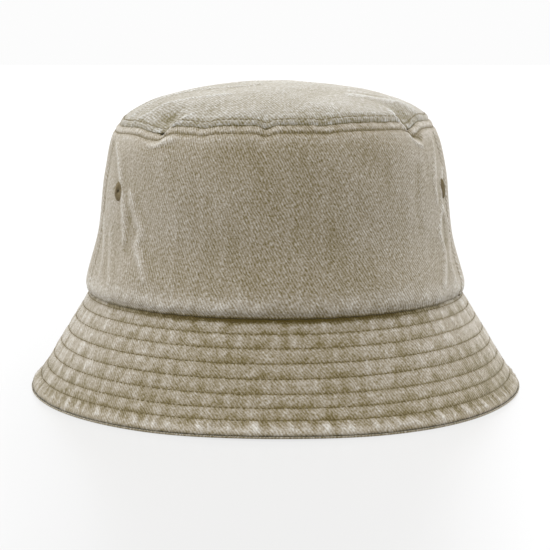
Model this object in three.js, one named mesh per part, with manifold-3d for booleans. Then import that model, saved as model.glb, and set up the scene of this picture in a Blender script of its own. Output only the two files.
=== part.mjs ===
// A bucket hat of washed cotton twill, in millimetres, +Z up, standing on the edge of its brim.
// The front faces -Y, and the origin is the centre of the oval that the brim's edge stands on.
// Every cloth layer is a piece of its own, with a small clear gap to the layers beside it.
import * as THREE from "three";
import { mergeVertices } from "three/addons/utils/BufferGeometryUtils.js";
import Module from "manifold-3d";

const wasm = await Module();
wasm.setup();

// Driving dimensions: heights above the ground, and half widths from side to side.
const BRIM_EDGE_HALF_WIDTH = 121.2;
const BRIM_BEND_HALF_WIDTH = 111.5;
const BRIM_BEND_HEIGHT = 16.5;
const HEAD_SEAM_HALF_WIDTH = 92.5;
const HEAD_SEAM_HEIGHT = 48;
const TOP_SEAM_HALF_WIDTH = 74.5;
const TOP_SEAM_HEIGHT = 132;
const DOME_RISE = 17.5;
const DEPTH_OVER_WIDTH = 1.05;

// The side seams stand this far round from the front, a little forward of the widest line.
const SIDE_SEAM_AZIMUTH = 75;

// Cloth and seams.
const GAP = 0.3;
const TWILL = 0.7;
const INTERLINING = 0.5;
const TAPE = 0.5;
const SWEATBAND = 1;
const SEAM_ALLOWANCE = 6;
const HEAD_ALLOWANCE = 8.5;
const TOP_TAPE_REACH = 8;
const SIDE_TAPE_WIDTH = 11;
const SWEATBAND_HEIGHT = 30;
const SWEATBAND_DROP = 1.5;
const SWEATBAND_TOP_HALF_WIDTH = 85.4;
const THREAD = 0.5;
const ROW_DROPS = [3.3, 8.8, 15.5, 22.5, 29.5, 36.5, 42.7, 48.4];
const TOP_STITCH_OFFSET = 4;
const SIDE_STITCH_OFFSET = 3.5;
const SIDE_STITCH_START = 2;
const SWEATBAND_STITCH_HEIGHT = 3;

// Embroidered ventilation eyelets, one on each side of each side seam. Azimuths count from the front.
const EYELET_HEIGHT = 99;
const EYELETS = [
  { name: "eyelet_front_left", half: "front", azimuth: -61 },
  { name: "eyelet_front_right", half: "front", azimuth: 68 },
  { name: "eyelet_back_left", half: "back", azimuth: -101.25 },
  { name: "eyelet_back_right", half: "back", azimuth: 101.25 },
];
const EYELET_RADIUS = 4.6;
const EYELET_HOLE_RADIUS = 1.6;
const EYELET_WALL = 0.6;
const EYELET_RIM = 0.8;
const EYELET_CLEARANCE = 0.45;

// A blank care label at the back of the sweatband.
const LABEL_WIDTH = 20;
const LABEL_HEIGHT = 13;
const LABEL_THICKNESS = 0.5;

const ROUND_STEPS = 48;
const CROWN_STEPS = 8;
const BEND_STEPS = 3;
const DOME_STEPS = 6;
const EYELET_STEPS = 12;
const FAR = 400;
const DRILL_LENGTH = 12;

// How far the brim's outline runs below the ground before it is trimmed, how high its under layer
// ends, and how high its interlining stops, short of the turned edge.
const BRIM_TRIM_DEPTH = 1.4;
const UNDER_BRIM_LIFT = 0.4;
const INTERLINING_LIFT = 5;
const CORNER_CLEARANCE = 0.6;

const KHAKI = 0x8f8468;
const KHAKI_SHADE = 0x857a5f;
const THREAD_KHAKI = 0x73694f;
const NATURAL = 0xb8ae96;
const LABEL_WHITE = 0xe4e0d6;

const point = (radius, height) => new THREE.Vector2(radius, height);

// Outlines are lists of points in radius and height. Layers that touch share the same points.

// The crown's wall: tucked in at the head seam, fullest just above it, rounded over at the top.
const crownCurve = new THREE.SplineCurve([
  point(HEAD_SEAM_HALF_WIDTH, HEAD_SEAM_HEIGHT),
  point(94.2, 54),
  point(88.2, 76),
  point(84.5, 105),
  point(80.4, 123),
  point(TOP_SEAM_HALF_WIDTH, TOP_SEAM_HEIGHT),
]);
const crownOutline = crownCurve.getSpacedPoints(CROWN_STEPS);

// The brim's face, from below the ground, where it is trimmed, up to the corner at the head seam,
// and then its seam allowance, which stands up inside the crown.
const brimCorner = point(HEAD_SEAM_HALF_WIDTH - 2 * TWILL - CORNER_CLEARANCE, HEAD_SEAM_HEIGHT);
const brimBend = new THREE.QuadraticBezierCurve(
  point(BRIM_EDGE_HALF_WIDTH + BRIM_TRIM_DEPTH / 2, -BRIM_TRIM_DEPTH),
  point(115.6, 9.65),
  point(BRIM_BEND_HALF_WIDTH, BRIM_BEND_HEIGHT),
);
const brimLegTop = point(brimCorner.x, brimCorner.y + HEAD_ALLOWANCE);
const brimOutline = [...brimBend.getPoints(BEND_STEPS), brimCorner, brimLegTop];

// The crown's top: a low cushion shape, steep at its seam and flat in the middle.
function domePoint(share) {
  const rise = DOME_RISE * (1 - share ** 1.9) ** 0.63;
  return point(TOP_SEAM_HALF_WIDTH * share, TOP_SEAM_HEIGHT + rise);
}

// From its seam to the axis, with the points crowded where the dome is steep.
const domeOutline = Array.from({ length: DOME_STEPS + 1 }, (_, i) =>
  domePoint(1 - (i / DOME_STEPS) ** 1.6),
);

function lengthOf(outline) {
  return outline.slice(1).reduce((sum, place, i) => sum + place.distanceTo(outline[i]), 0);
}

// The part of an outline between two distances from its start, with the corners in between.
function stretch(outline, from, to) {
  const kept = [];
  let start = 0;
  outline.slice(1).forEach((place, i) => {
    const end = start + place.distanceTo(outline[i]);
    const at = (distance) => outline[i].clone().lerp(place, (distance - start) / (end - start));
    if (from >= start && from < end) {
      kept.push(at(from));
    } else if (start > from && start < to) {
      kept.push(outline[i].clone());
    }
    if (to > start && to <= end) {
      kept.push(at(to));
    }
    start = end;
  });
  return kept;
}

// An open outline moved sideways: outwards and up where the distance is positive.
function shifted(outline, distance) {
  const directions = outline.slice(1).map((place, i) => place.clone().sub(outline[i]).normalize());
  return outline.map((place, i) => {
    const before = directions[Math.max(i - 1, 0)];
    const after = directions[Math.min(i, directions.length - 1)];
    const along = before.clone().add(after).normalize();
    const reach = distance / along.dot(after);
    return point(place.x + along.y * reach, place.y - along.x * reach);
  });
}

// The closed outline of a cloth layer between two distances from an outline.
function layer(outline, outer, inner) {
  return [...shifted(outline, outer), ...shifted(outline, inner).reverse()];
}

// A profile turned about +Z and stretched from front to back. It closes on itself or on the axis.
function turned(profile) {
  const geometry = new THREE.LatheGeometry(profile, ROUND_STEPS);
  geometry.rotateX(Math.PI / 2);
  return geometry.scale(1, DEPTH_OVER_WIDTH, 1);
}

function ring(profile) {
  return turned([...profile, profile[0]]);
}

function solidOf(geometry) {
  const bare = geometry.clone();
  bare.deleteAttribute("normal");
  bare.deleteAttribute("uv");
  const merged = mergeVertices(bare, 1e-4);
  return new wasm.Manifold(
    new wasm.Mesh({
      numProp: 3,
      vertProperties: merged.attributes.position.array,
      triVerts: new Uint32Array(merged.index.array),
    }),
  );
}

function geometryOf(solid) {
  const mesh = solid.getMesh();
  const geometry = new THREE.BufferGeometry();
  geometry.setAttribute("position", new THREE.BufferAttribute(mesh.vertProperties, 3));
  geometry.setIndex(new THREE.BufferAttribute(mesh.triVerts, 1));
  geometry.computeVertexNormals();
  return geometry;
}

// A box between two corners, used to cut pieces to size.
function blockSolid(low, high) {
  const size = high.clone().sub(low);
  const middle = low.clone().add(high).multiplyScalar(0.5);
  const box = new THREE.BoxGeometry(size.x, size.y, size.z);
  return solidOf(box.translate(middle.x, middle.y, middle.z));
}

function aboveHeight(height) {
  return blockSolid(new THREE.Vector3(-FAR, -FAR, height), new THREE.Vector3(FAR, FAR, FAR));
}

// How far the side seams' planes are turned from the line between the hat's two widest points.
const seamAzimuth = THREE.MathUtils.degToRad(SIDE_SEAM_AZIMUTH);
const seamTurn = THREE.MathUtils.radToDeg(Math.atan(DEPTH_OVER_WIDTH / Math.tan(seamAzimuth)));

// The front of a ring is facing -1 and the back is facing 1. They meet at the side seams.
function panelOf(solid, facing) {
  const nearest = (facing * GAP) / 2;
  const farthest = facing * FAR;
  const low = new THREE.Vector3(-FAR, Math.min(nearest, farthest), -FAR);
  const high = new THREE.Vector3(FAR, Math.max(nearest, farthest), FAR);
  const block = blockSolid(low, high);
  const [right, left] = [block.rotate([0, 0, -seamTurn]), block.rotate([0, 0, seamTurn])];
  return solid.intersect(facing < 0 ? right.intersect(left) : right.add(left));
}

// A strip of a ring at one side of the hat, between two distances behind the side seam.
function sideStripOf(solid, side, low, high) {
  const corner = new THREE.Vector3(Math.min(0, side * FAR), low, -FAR);
  const opposite = new THREE.Vector3(Math.max(0, side * FAR), high, FAR);
  return solid.intersect(blockSolid(corner, opposite).rotate([0, 0, -side * seamTurn]));
}

const clothMaterial = (color, roughness) =>
  new THREE.MeshStandardMaterial({ color, roughness, metalness: 0 });

function piece(name, geometry, material) {
  const mesh = new THREE.Mesh(geometry, material);
  mesh.name = name;
  return mesh;
}

const halves = [
  { name: "front", facing: -1 },
  { name: "back", facing: 1 },
];
const sides = [
  { name: "left", side: -1 },
  { name: "right", side: 1 },
];

// Where the eyelets go: each with its centre on the wall and its way out of the wall.
function eyeletPlaces() {
  const above = crownOutline.findIndex((place) => place.y > EYELET_HEIGHT);
  const [low, high] = [crownOutline[above - 1], crownOutline[above]];
  const onWall = low.clone().lerp(high, (EYELET_HEIGHT - low.y) / (high.y - low.y));
  const radius = onWall.x * Math.cos(Math.PI / ROUND_STEPS);
  const lean = Math.atan2(low.x - high.x, high.y - low.y);
  return EYELETS.map((hole) => {
    const azimuth = THREE.MathUtils.degToRad(hole.azimuth);
    const [sideways, forwards] = [Math.sin(azimuth), -Math.cos(azimuth)];
    const out = new THREE.Vector3(sideways * DEPTH_OVER_WIDTH, forwards, 0);
    out.setLength(Math.cos(lean));
    out.z = Math.sin(lean);
    const y = radius * forwards * DEPTH_OVER_WIDTH;
    return { ...hole, centre: new THREE.Vector3(radius * sideways, y, EYELET_HEIGHT), out };
  });
}

// Turns a geometry made about +Z so that it stands on the crown's wall at an eyelet's place.
function placedAt(geometry, place) {
  const turn = new THREE.Quaternion().setFromUnitVectors(new THREE.Vector3(0, 0, 1), place.out);
  geometry.applyQuaternion(turn);
  return geometry.translate(place.centre.x, place.centre.y, place.centre.z);
}

// The thread of an eyelet: a rim on each face of the cloth and a wall through its hole.
function eyelet(place) {
  const wallOuter = EYELET_HOLE_RADIUS + EYELET_WALL;
  const face = EYELET_CLEARANCE;
  const back = -TWILL - EYELET_CLEARANCE;
  const profile = [
    point(EYELET_HOLE_RADIUS, back - EYELET_RIM),
    point(EYELET_RADIUS, back - EYELET_RIM / 2),
    point(EYELET_RADIUS, back),
    point(wallOuter, back),
    point(wallOuter, face),
    point(EYELET_RADIUS, face),
    point(EYELET_RADIUS, face + EYELET_RIM / 2),
    point(EYELET_HOLE_RADIUS, face + EYELET_RIM),
    point(EYELET_HOLE_RADIUS, back - EYELET_RIM),
  ];
  const geometry = new THREE.LatheGeometry(profile, EYELET_STEPS).rotateX(Math.PI / 2);
  return piece(place.name, placedAt(geometry, place), clothMaterial(THREAD_KHAKI, 0.8));
}

function eyeletHole(place) {
  const radius = EYELET_HOLE_RADIUS + EYELET_WALL + GAP;
  const drill = new THREE.CylinderGeometry(radius, radius, DRILL_LENGTH, EYELET_STEPS).rotateX(Math.PI / 2);
  return solidOf(placedAt(drill, place));
}

// Outer cloth with its seam allowances turned in, so it is double beside both of its seams.
function crownWallProfile() {
  const end = lengthOf(crownOutline) - GAP;
  const lower = stretch(crownOutline, 0, SEAM_ALLOWANCE);
  const middle = stretch(crownOutline, SEAM_ALLOWANCE, end - SEAM_ALLOWANCE);
  const upper = stretch(crownOutline, end - SEAM_ALLOWANCE, end);
  const inner = [
    ...shifted(lower, -2 * TWILL),
    ...shifted(middle, -TWILL),
    ...shifted(upper, -2 * TWILL),
  ];
  return [...stretch(crownOutline, 0, end), ...inner.reverse()];
}

function crownPanels(places) {
  const wall = solidOf(ring(crownWallProfile()));
  return halves.map((half) => {
    const holes = places.filter((place) => place.half === half.name).map(eyeletHole);
    const panel = holes.reduce((cloth, hole) => cloth.subtract(hole), panelOf(wall, half.facing));
    return piece(`crown_${half.name}_panel`, geometryOf(panel), clothMaterial(KHAKI, 0.92));
  });
}

function crownTop() {
  const outer = stretch(domeOutline, GAP, lengthOf(domeOutline));
  const inner = shifted(outer.slice(0, -1), -TWILL);
  const crest = domePoint(0);
  inner.push(point(0, crest.y - TWILL));
  return piece("crown_top", turned([...inner.reverse(), ...outer]), clothMaterial(KHAKI, 0.92));
}

// The brim's three layers, each cut into a front and a back half at the side seams.
function brimLayers() {
  const interliningOuter = -TWILL - GAP;
  const underOuter = interliningOuter - INTERLINING - GAP;
  const plies = [
    { name: "brim_upper", outer: 0, thick: TWILL, lift: 0, color: KHAKI },
    {
      name: "brim_interlining",
      outer: interliningOuter,
      thick: INTERLINING,
      lift: INTERLINING_LIFT,
      color: NATURAL,
    },
    { name: "brim_under", outer: underOuter, thick: TWILL, lift: UNDER_BRIM_LIFT, color: KHAKI_SHADE },
  ];
  return plies.flatMap((ply) => {
    const whole = solidOf(ring(layer(brimOutline, ply.outer, ply.outer - ply.thick)));
    const trimmed = whole.intersect(aboveHeight(ply.lift));
    return halves.map((half) =>
      piece(
        `${ply.name}_${half.name}`,
        geometryOf(panelOf(trimmed, half.facing)),
        clothMaterial(ply.color, 0.92),
      ),
    );
  });
}

// A thread laid round the hat on the outer face of an outline's short stretch.
function threadRing(name, outline) {
  return piece(name, ring(layer(outline, GAP + THREAD, GAP)), clothMaterial(THREAD_KHAKI, 0.75));
}

// Rows count from the head seam down to the brim's edge.
function brimRows() {
  const seam = lengthOf(brimOutline) - HEAD_ALLOWANCE;
  return ROW_DROPS.map((drop, i) => {
    const place = seam - drop;
    const line = stretch(brimOutline, place - THREAD / 2, place + THREAD / 2);
    return threadRing(`brim_stitch_row_${i + 1}`, line);
  });
}

function topStitches() {
  const below = lengthOf(crownOutline) - TOP_STITCH_OFFSET;
  const near = TOP_STITCH_OFFSET - THREAD / 2;
  return [
    threadRing("top_stitch_lower", stretch(crownOutline, below - THREAD / 2, below + THREAD / 2)),
    threadRing("top_stitch_upper", stretch(domeOutline, near, near + THREAD)),
  ];
}

// Two lines of topstitching beside each side seam, from the head seam to the top seam's stitching.
function sideStitches() {
  const end = lengthOf(crownOutline) - TOP_STITCH_OFFSET - 2 * THREAD;
  const outline = stretch(crownOutline, SIDE_STITCH_START, end);
  const sheet = solidOf(ring(layer(outline, GAP + THREAD, GAP)));
  return sides.flatMap((side) =>
    halves.map((half) => {
      const middle = half.facing * SIDE_STITCH_OFFSET;
      const strip = sideStripOf(sheet, side.side, middle - THREAD / 2, middle + THREAD / 2);
      const name = `side_stitch_${side.name}_${half.name}`;
      return piece(name, geometryOf(strip), clothMaterial(THREAD_KHAKI, 0.75));
    }),
  );
}

// Cotton tape that covers the raw edges inside: one round the top seam, one down each side seam.
function topSeamTape() {
  const end = lengthOf(crownOutline);
  const below = stretch(crownOutline, end - TOP_TAPE_REACH, end);
  const above = stretch(domeOutline, 0, TOP_TAPE_REACH).slice(1);
  const outer = -2 * TWILL - GAP;
  const profile = layer([...below, ...above], outer, outer - TAPE);
  return piece("top_seam_tape", ring(profile), clothMaterial(NATURAL, 0.9));
}

function sideSeamTapes() {
  const end = lengthOf(crownOutline) - TOP_TAPE_REACH - 2 * GAP;
  const outline = stretch(crownOutline, HEAD_ALLOWANCE + SIDE_STITCH_START, end);
  const outer = -2 * TWILL - GAP;
  const sheet = solidOf(ring(layer(outline, outer, outer - TAPE)));
  return sides.map((side) => {
    const strip = sideStripOf(sheet, side.side, -SIDE_TAPE_WIDTH / 2, SIDE_TAPE_WIDTH / 2);
    return piece(`side_seam_tape_${side.name}`, geometryOf(strip), clothMaterial(NATURAL, 0.9));
  });
}

// The sweatband stands inside the head seam and leans in with the crown's wall.
const bandOuter = brimCorner.x - 2 * TWILL - INTERLINING - 3 * GAP;
const bandFoot = brimCorner.y - SWEATBAND_DROP;
const bandOutline = [
  point(bandOuter, bandFoot),
  point(bandOuter, brimLegTop.y + 1),
  point(SWEATBAND_TOP_HALF_WIDTH, bandFoot + SWEATBAND_HEIGHT),
];

function sweatband() {
  return piece("sweatband", ring(layer(bandOutline, 0, -SWEATBAND)), clothMaterial(NATURAL, 0.85));
}

function sweatbandStitch() {
  const low = bandFoot + SWEATBAND_STITCH_HEIGHT;
  const outline = [point(bandOuter, low), point(bandOuter, low + THREAD)];
  const outer = -SWEATBAND - GAP;
  return piece(
    "sweatband_stitch",
    ring(layer(outline, outer, outer - THREAD)),
    clothMaterial(THREAD_KHAKI, 0.75),
  );
}

function careLabel() {
  const [, shoulder, top] = shifted(bandOutline, -SWEATBAND - GAP);
  const lean = Math.atan2(shoulder.x - top.x, top.y - shoulder.y);
  const box = new THREE.BoxGeometry(LABEL_WIDTH, LABEL_THICKNESS, LABEL_HEIGHT).rotateX(lean);
  const label = piece("size_label", box, clothMaterial(LABEL_WHITE, 0.7));
  const middle = (shoulder.x + top.x) / 2;
  const sagitta = LABEL_WIDTH ** 2 / (8 * middle);
  const depth = (middle - sagitta) * DEPTH_OVER_WIDTH - LABEL_THICKNESS;
  label.position.set(0, depth, (shoulder.y + top.y) / 2);
  return label;
}

const hat = new THREE.Group();
const eyelets = eyeletPlaces();
hat.add(crownTop(), ...crownPanels(eyelets), ...eyelets.map(eyelet));
hat.add(...brimLayers(), ...brimRows(), ...topStitches(), ...sideStitches());
hat.add(topSeamTape(), ...sideSeamTapes(), sweatband(), sweatbandStitch(), careLabel());

export default hat;
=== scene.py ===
"""A bucket hat of washed cotton twill, standing on its brim edge.

Lengths inside this script are millimetres. A place on the hat is an azimuth in degrees (0 at the front,
positive towards +X) and a distance along an outline of radius and height. MM turns the result into metres.
"""

import math

import bpy
import numpy as np
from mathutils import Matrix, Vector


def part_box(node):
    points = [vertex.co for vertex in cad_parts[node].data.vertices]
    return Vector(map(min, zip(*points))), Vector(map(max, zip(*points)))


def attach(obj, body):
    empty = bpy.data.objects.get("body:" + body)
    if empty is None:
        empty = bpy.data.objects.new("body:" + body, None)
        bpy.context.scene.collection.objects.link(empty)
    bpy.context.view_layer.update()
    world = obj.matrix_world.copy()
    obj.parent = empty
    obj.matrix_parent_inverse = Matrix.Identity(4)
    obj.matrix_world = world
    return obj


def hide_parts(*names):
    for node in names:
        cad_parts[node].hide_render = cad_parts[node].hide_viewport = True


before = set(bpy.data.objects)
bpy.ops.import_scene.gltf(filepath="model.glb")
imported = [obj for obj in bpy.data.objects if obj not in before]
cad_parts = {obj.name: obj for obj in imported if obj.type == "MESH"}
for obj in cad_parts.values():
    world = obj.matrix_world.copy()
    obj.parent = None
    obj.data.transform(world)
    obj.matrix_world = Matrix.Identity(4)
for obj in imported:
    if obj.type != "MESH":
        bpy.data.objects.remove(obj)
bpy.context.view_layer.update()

MM = 0.001


# --- sizes

DEPTH_OVER_WIDTH = 1.05
TWILL_THICKNESS = 0.7
HEM_RADIUS = 0.8
SIDE_SEAM_ANGLE = 75.0
HEAD_SEAM = (92.5, 48.0)
TOP_SEAM = (74.5, 132.0)
WALL_POINTS = ((92.9, 48.0), (93.9, 54.0), (88.2, 76.0), (84.5, 105.0), (80.4, 123.0), TOP_SEAM)
DOME_RISE = 18.3
DOME_ROUNDNESS = 1.85
DOME_SHOULDER = 0.59
BRIM_EDGE = (120.8, 3.3)
BRIM_FLARE = (115.7, 9.4)
BRIM_BEND = (111.4, 16.5)
BRIM_HEAD = (90.6, 50.3)
BRIM_TUCK = 2.4
GROOVE_HALF_WIDTH = 0.5
ROWS_BELOW_SEAM = (2.2, 7.7, 14.4, 21.4, 28.4, 35.4, 41.6, 47.3)
TOP_STITCH_OFFSET = 4.1
UPPER_STITCH_OFFSET = 3.2
SIDE_STITCH_OFFSET = 3.5
EYELET_PLACES = {
    "eyelet_front_left": (-59.8, 52.9),
    "eyelet_front_right": (69.4, 53.0),
    "eyelet_back_left": (-101.25, 53.5),
    "eyelet_back_right": (101.25, 53.5),
}
EYELET_WIDTHS = {"eyelet_front_right": 0.42}
EYELET_RADIUS = 4.2
EYELET_HOLE = 0.6
STITCH_LENGTH = 2.7
STITCH_DIP = 0.42
THREAD_RADIUS = 0.18
NOISE_WAVES = 28


# --- small mathematics


def smooth_step(value, low, high):
    """0 below low, 1 above high, and an even curve between them."""
    share = np.clip((value - low) / (high - low), 0.0, 1.0)
    return share * share * (3.0 - 2.0 * share)


def bump(value, centre, width):
    """A rounded hill of height 1."""
    return np.exp(-(((value - centre) / width) ** 2))


def uneven_bump(value, centre, left_width, right_width):
    """A hill whose two slopes are of different lengths."""
    width = np.where(value < centre, left_width, right_width)
    return np.exp(-(((value - centre) / width) ** 2))


def wave_noise(coordinates, wavelength, seed):
    """Smooth random heights with a spread of about 1: a sum of waves in random directions."""
    source = np.random.default_rng(seed)
    total = np.zeros(coordinates[0].shape)
    for _ in range(NOISE_WAVES):
        direction = source.normal(size=len(coordinates))
        direction /= np.linalg.norm(direction)
        number = 2.0 * math.pi / wavelength * source.uniform(0.55, 1.5)
        phase = source.uniform(0.0, 2.0 * math.pi)
        total += np.cos(sum(d * number * c for d, c in zip(direction, coordinates)) + phase)
    return total * math.sqrt(2.0 / NOISE_WAVES)


def distance_to_line(x, y, line):
    """The distance from each point to a line of joined straight parts."""
    nearest = np.full(np.broadcast(x, y).shape, 1e9)
    for (x0, y0), (x1, y1) in zip(line[:-1], line[1:]):
        along_x, along_y = x1 - x0, y1 - y0
        share = ((x - x0) * along_x + (y - y0) * along_y) / (along_x**2 + along_y**2)
        share = np.clip(share, 0.0, 1.0)
        nearest = np.minimum(nearest, np.hypot(x - x0 - share * along_x, y - y0 - share * along_y))
    return nearest


def rounded_line(points, steps):
    """A smooth line through the points."""
    ends = [2 * np.array(points[0]) - points[1], 2 * np.array(points[-1]) - points[-2]]
    knots = np.vstack([ends[0], points, ends[1]])
    made = []
    for before, start, end, after in zip(knots[:-3], knots[1:-2], knots[2:-1], knots[3:]):
        for share in np.arange(steps) / steps:
            straight = 2 * start + (end - before) * share
            bend = (2 * before - 5 * start + 4 * end - after) * share**2
            twist = (3 * start - before - 3 * end + after) * share**3
            made.append(0.5 * (straight + bend + twist))
    made.append(knots[-2])
    return np.array(made)


class Outline:
    """A line of radius and height, from its lower or outer end, with hems that roll inwards at its ends."""

    def __init__(self, points, start_hem=0.0, end_hem=0.0, hem_radius=HEM_RADIUS, hem_way=1.0):
        points = np.array(points, float)
        start = self.hem(points[0], points[0] - points[1], -hem_way, start_hem, hem_radius)[::-1]
        end = self.hem(points[-1], points[-1] - points[-2], hem_way, end_hem, hem_radius)
        self.line = np.vstack([start, points, end])
        steps = np.hypot(*np.diff(self.line, axis=0).T)
        along = np.concatenate([[0.0], np.cumsum(steps)])
        self.along = along - along[len(start)]
        self.length = self.along[len(start) + len(points) - 1]
        self.first = self.along[0]
        self.last = self.along[-1]

    @staticmethod
    def hem(point, way, side, degrees, radius):
        """The points of an arc that leaves the end of the line and turns in under it."""
        if not degrees:
            return np.zeros((0, 2))
        way = way / np.linalg.norm(way)
        out = np.array([way[1], -way[0]]) * side
        centre = point - out * radius
        turn = np.radians(np.linspace(0.0, degrees, 9)[1:])[:, None]
        return centre + radius * (out * np.cos(turn) + way * np.sin(turn))

    def place(self, along):
        """Radius and height at a distance along the outline."""
        return np.interp(along, self.along, self.line[:, 0]), np.interp(along, self.along, self.line[:, 1])

    def outward(self, along):
        """The outward direction, as its radial and its upward part."""
        r0, z0 = self.place(along - 0.35)
        r1, z1 = self.place(along + 0.35)
        size = np.maximum(np.hypot(r1 - r0, z1 - z0), 1e-9)
        return (z1 - z0) / size, (r0 - r1) / size


def stand(radius, angle, height):
    """Points of the hat from radius, azimuth and height. The plan is a little longer than it is wide."""
    turn = np.radians(angle)
    parts = np.broadcast_arrays(radius * np.sin(turn), -radius * np.cos(turn) * DEPTH_OVER_WIDTH, height)
    return np.stack(parts, axis=-1)


def ring_place(angle, radius):
    """Flat coordinates on a ring, so that a pattern meets itself all the way round."""
    turn = np.radians(angle)
    return np.sin(turn) * radius, np.cos(turn) * radius


def side_share(angle):
    """1 at the hat's sides, 0 at its front and back."""
    return np.sin(np.radians(angle)) ** 4


# --- outlines of the cloth


def dome_line():
    """The top's outline, from its seam to its middle."""
    share = np.cos(np.linspace(0.0, 0.5 * math.pi, 160)) ** 0.5
    share[-1] = 0.0
    height = TOP_SEAM[1] + DOME_RISE * (1.0 - share**DOME_ROUNDNESS) ** DOME_SHOULDER
    return np.stack([TOP_SEAM[0] * share, height], axis=1)


def brim_line():
    """The brim's outline: an arc at the edge, then a straight slope up to the head seam."""
    share = np.linspace(0.0, 1.0, 24)[:, None]
    edge, flare, bend = (np.array(p) for p in (BRIM_EDGE, BRIM_FLARE, BRIM_BEND))
    curve = (1 - share) ** 2 * edge + 2 * share * (1 - share) * flare + share**2 * bend
    return np.vstack([curve, [BRIM_HEAD]])


def cut_ends(points, from_start, from_end):
    """The same line with a length taken off each end."""
    points = np.array(points, float)
    along = np.concatenate([[0.0], np.cumsum(np.hypot(*np.diff(points, axis=0).T))])
    low, high = from_start, along[-1] - from_end
    inside = along[(along > low) & (along < high)]
    kept = np.concatenate([[low], inside, [high]])
    return np.stack([np.interp(kept, along, points[:, k]) for k in (0, 1)], axis=1)


WALL_FULL = rounded_line(WALL_POINTS, 24)
WALL = Outline(cut_ends(WALL_FULL, 0.0, GROOVE_HALF_WIDTH), start_hem=105.0, end_hem=80.0, hem_radius=0.55)
DOME = Outline(cut_ends(dome_line(), GROOVE_HALF_WIDTH, 0.0), start_hem=85.0)
BRIM = Outline(brim_line(), start_hem=110.0, hem_radius=1.1)
BRIM_SEAM_ALONG = BRIM.length - math.hypot(HEAD_SEAM[0] - TWILL_THICKNESS - BRIM_HEAD[0], BRIM_TUCK)
ROWS_ALONG = [BRIM_SEAM_ALONG - distance for distance in ROWS_BELOW_SEAM]

# The under side of the brim lies below the top cloth and ends in a small turned lip at the edge.
UNDER_LIFT = -1.8
LIP_POINTS = ((121.1, 1.5), (120.0, 1.9), (118.6, 3.0))
LIP_FREE_LENGTH = 3.5


def under_line():
    """The under side's outline: the lip, then a line that keeps its distance from the brim's top cloth."""
    along = np.linspace(LIP_FREE_LENGTH, BRIM.length, 60)
    radius, height = BRIM.place(along)
    out_r, out_z = BRIM.outward(along)
    body = np.stack([radius + out_r * UNDER_LIFT, height + out_z * UNDER_LIFT], axis=1)
    return np.vstack([rounded_line((*LIP_POINTS, tuple(body[0])), 6)[:-1], body])


UNDER = Outline(under_line(), start_hem=170.0, hem_radius=0.15, hem_way=-1.0)
UNDER_OFFSET = UNDER.length - BRIM.length


# --- how the crown is creased

# Where the top seam sags or lifts: azimuth, width of the left slope, width of the right slope, drop.
SEAM_DROPS = (
    (-74.0, 24.0, 26.0, 3.1),
    (-44.0, 11.0, 4.2, 3.9),
    (-29.0, 9.0, 10.0, 1.1),
    (-25.5, 2.5, 3.5, 0.8),
    (-11.0, 5.0, 4.0, 0.2),
    (-3.3, 2.4, 2.4, 1.6),
    (16.5, 3.0, 3.0, 0.7),
    (31.0, 12.0, 16.0, -0.7),
    (54.0, 2.6, 6.5, 3.4),
    (78.0, 10.0, 14.0, 0.6),
    (112.0, 9.0, 5.0, 2.6),
    (141.0, 5.0, 9.0, 1.4),
    (168.0, 8.0, 7.0, -1.0),
    (196.0, 6.0, 10.0, 2.2),
    (232.0, 10.0, 5.0, 1.8),
    (254.0, 6.0, 6.0, -0.8),
)
RIM_RADIUS = 76.0
WALL_FOLD_RADIUS = 88.0
WALL_DROP_REACH = 26.0
DOME_DROP_REACH = 18.0
SHOULDER_SWELL = 0.7
CENTRE_RADIUS = 0.02
EYELET_RING_RADIUS = 86.0
EYELET_DENT = 0.45
EYELET_DENT_SPREAD = 34.0

# Random unevenness of the wall: height, squeeze along the wall, wavelength, seed.
WALL_WAVES = ((0.2, 1.0, 60.0, 11), (0.045, 0.5, 15.0, 12), (0.035, 0.25, 6.5, 13))
# The same of the dome: height, wavelength, seed.
DOME_WAVES = ((0.2, 46.0, 21), (0.04, 14.0, 22))

# Sharp creases that cross the top seam: points of azimuth and distance above the seam, width, height.
RIM_CREASES = (
    (((-40.9, -3.0), (-38.9, 0.6), (-35.6, 3.8), (-32.6, 8.2)), 0.75, 0.55),
    (((-43.5, -0.5), (-41.5, 3.2), (-38.4, 7.4)), 1.6, -0.7),
    (((-46.5, -8.2), (-41.0, -8.8), (-35.5, -7.4)), 1.5, 0.5),
    (((57.6, -11.6), (54.0, -8.2), (51.9, -4.4), (50.0, 0.0), (49.5, 2.8), (50.8, 9.0)), 0.95, 0.6),
    (((58.5, -7.0), (54.6, -3.6), (53.2, 1.0), (53.8, 6.5)), 1.6, -1.0),
    (((-28.0, -6.2), (-24.6, -2.4), (-24.0, 2.0)), 1.0, 0.3),
    (((-4.4, -3.6), (-2.9, 0.0), (-2.2, 3.4)), 0.8, -0.35),
    (((106.0, -9.0), (111.0, -1.0), (112.5, 9.0)), 1.8, 0.55),
    (((114.5, -6.0), (116.0, 2.0), (116.0, 8.0)), 2.6, -0.7),
    (((201.0, -10.0), (197.5, -2.0), (195.0, 9.0)), 1.8, 0.5),
    (((206.0, -7.0), (202.0, 1.0), (199.5, 7.0)), 2.8, -0.6),
    (((236.0, -8.0), (233.0, 0.0), (229.0, 10.0)), 2.0, 0.45),
)

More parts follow.
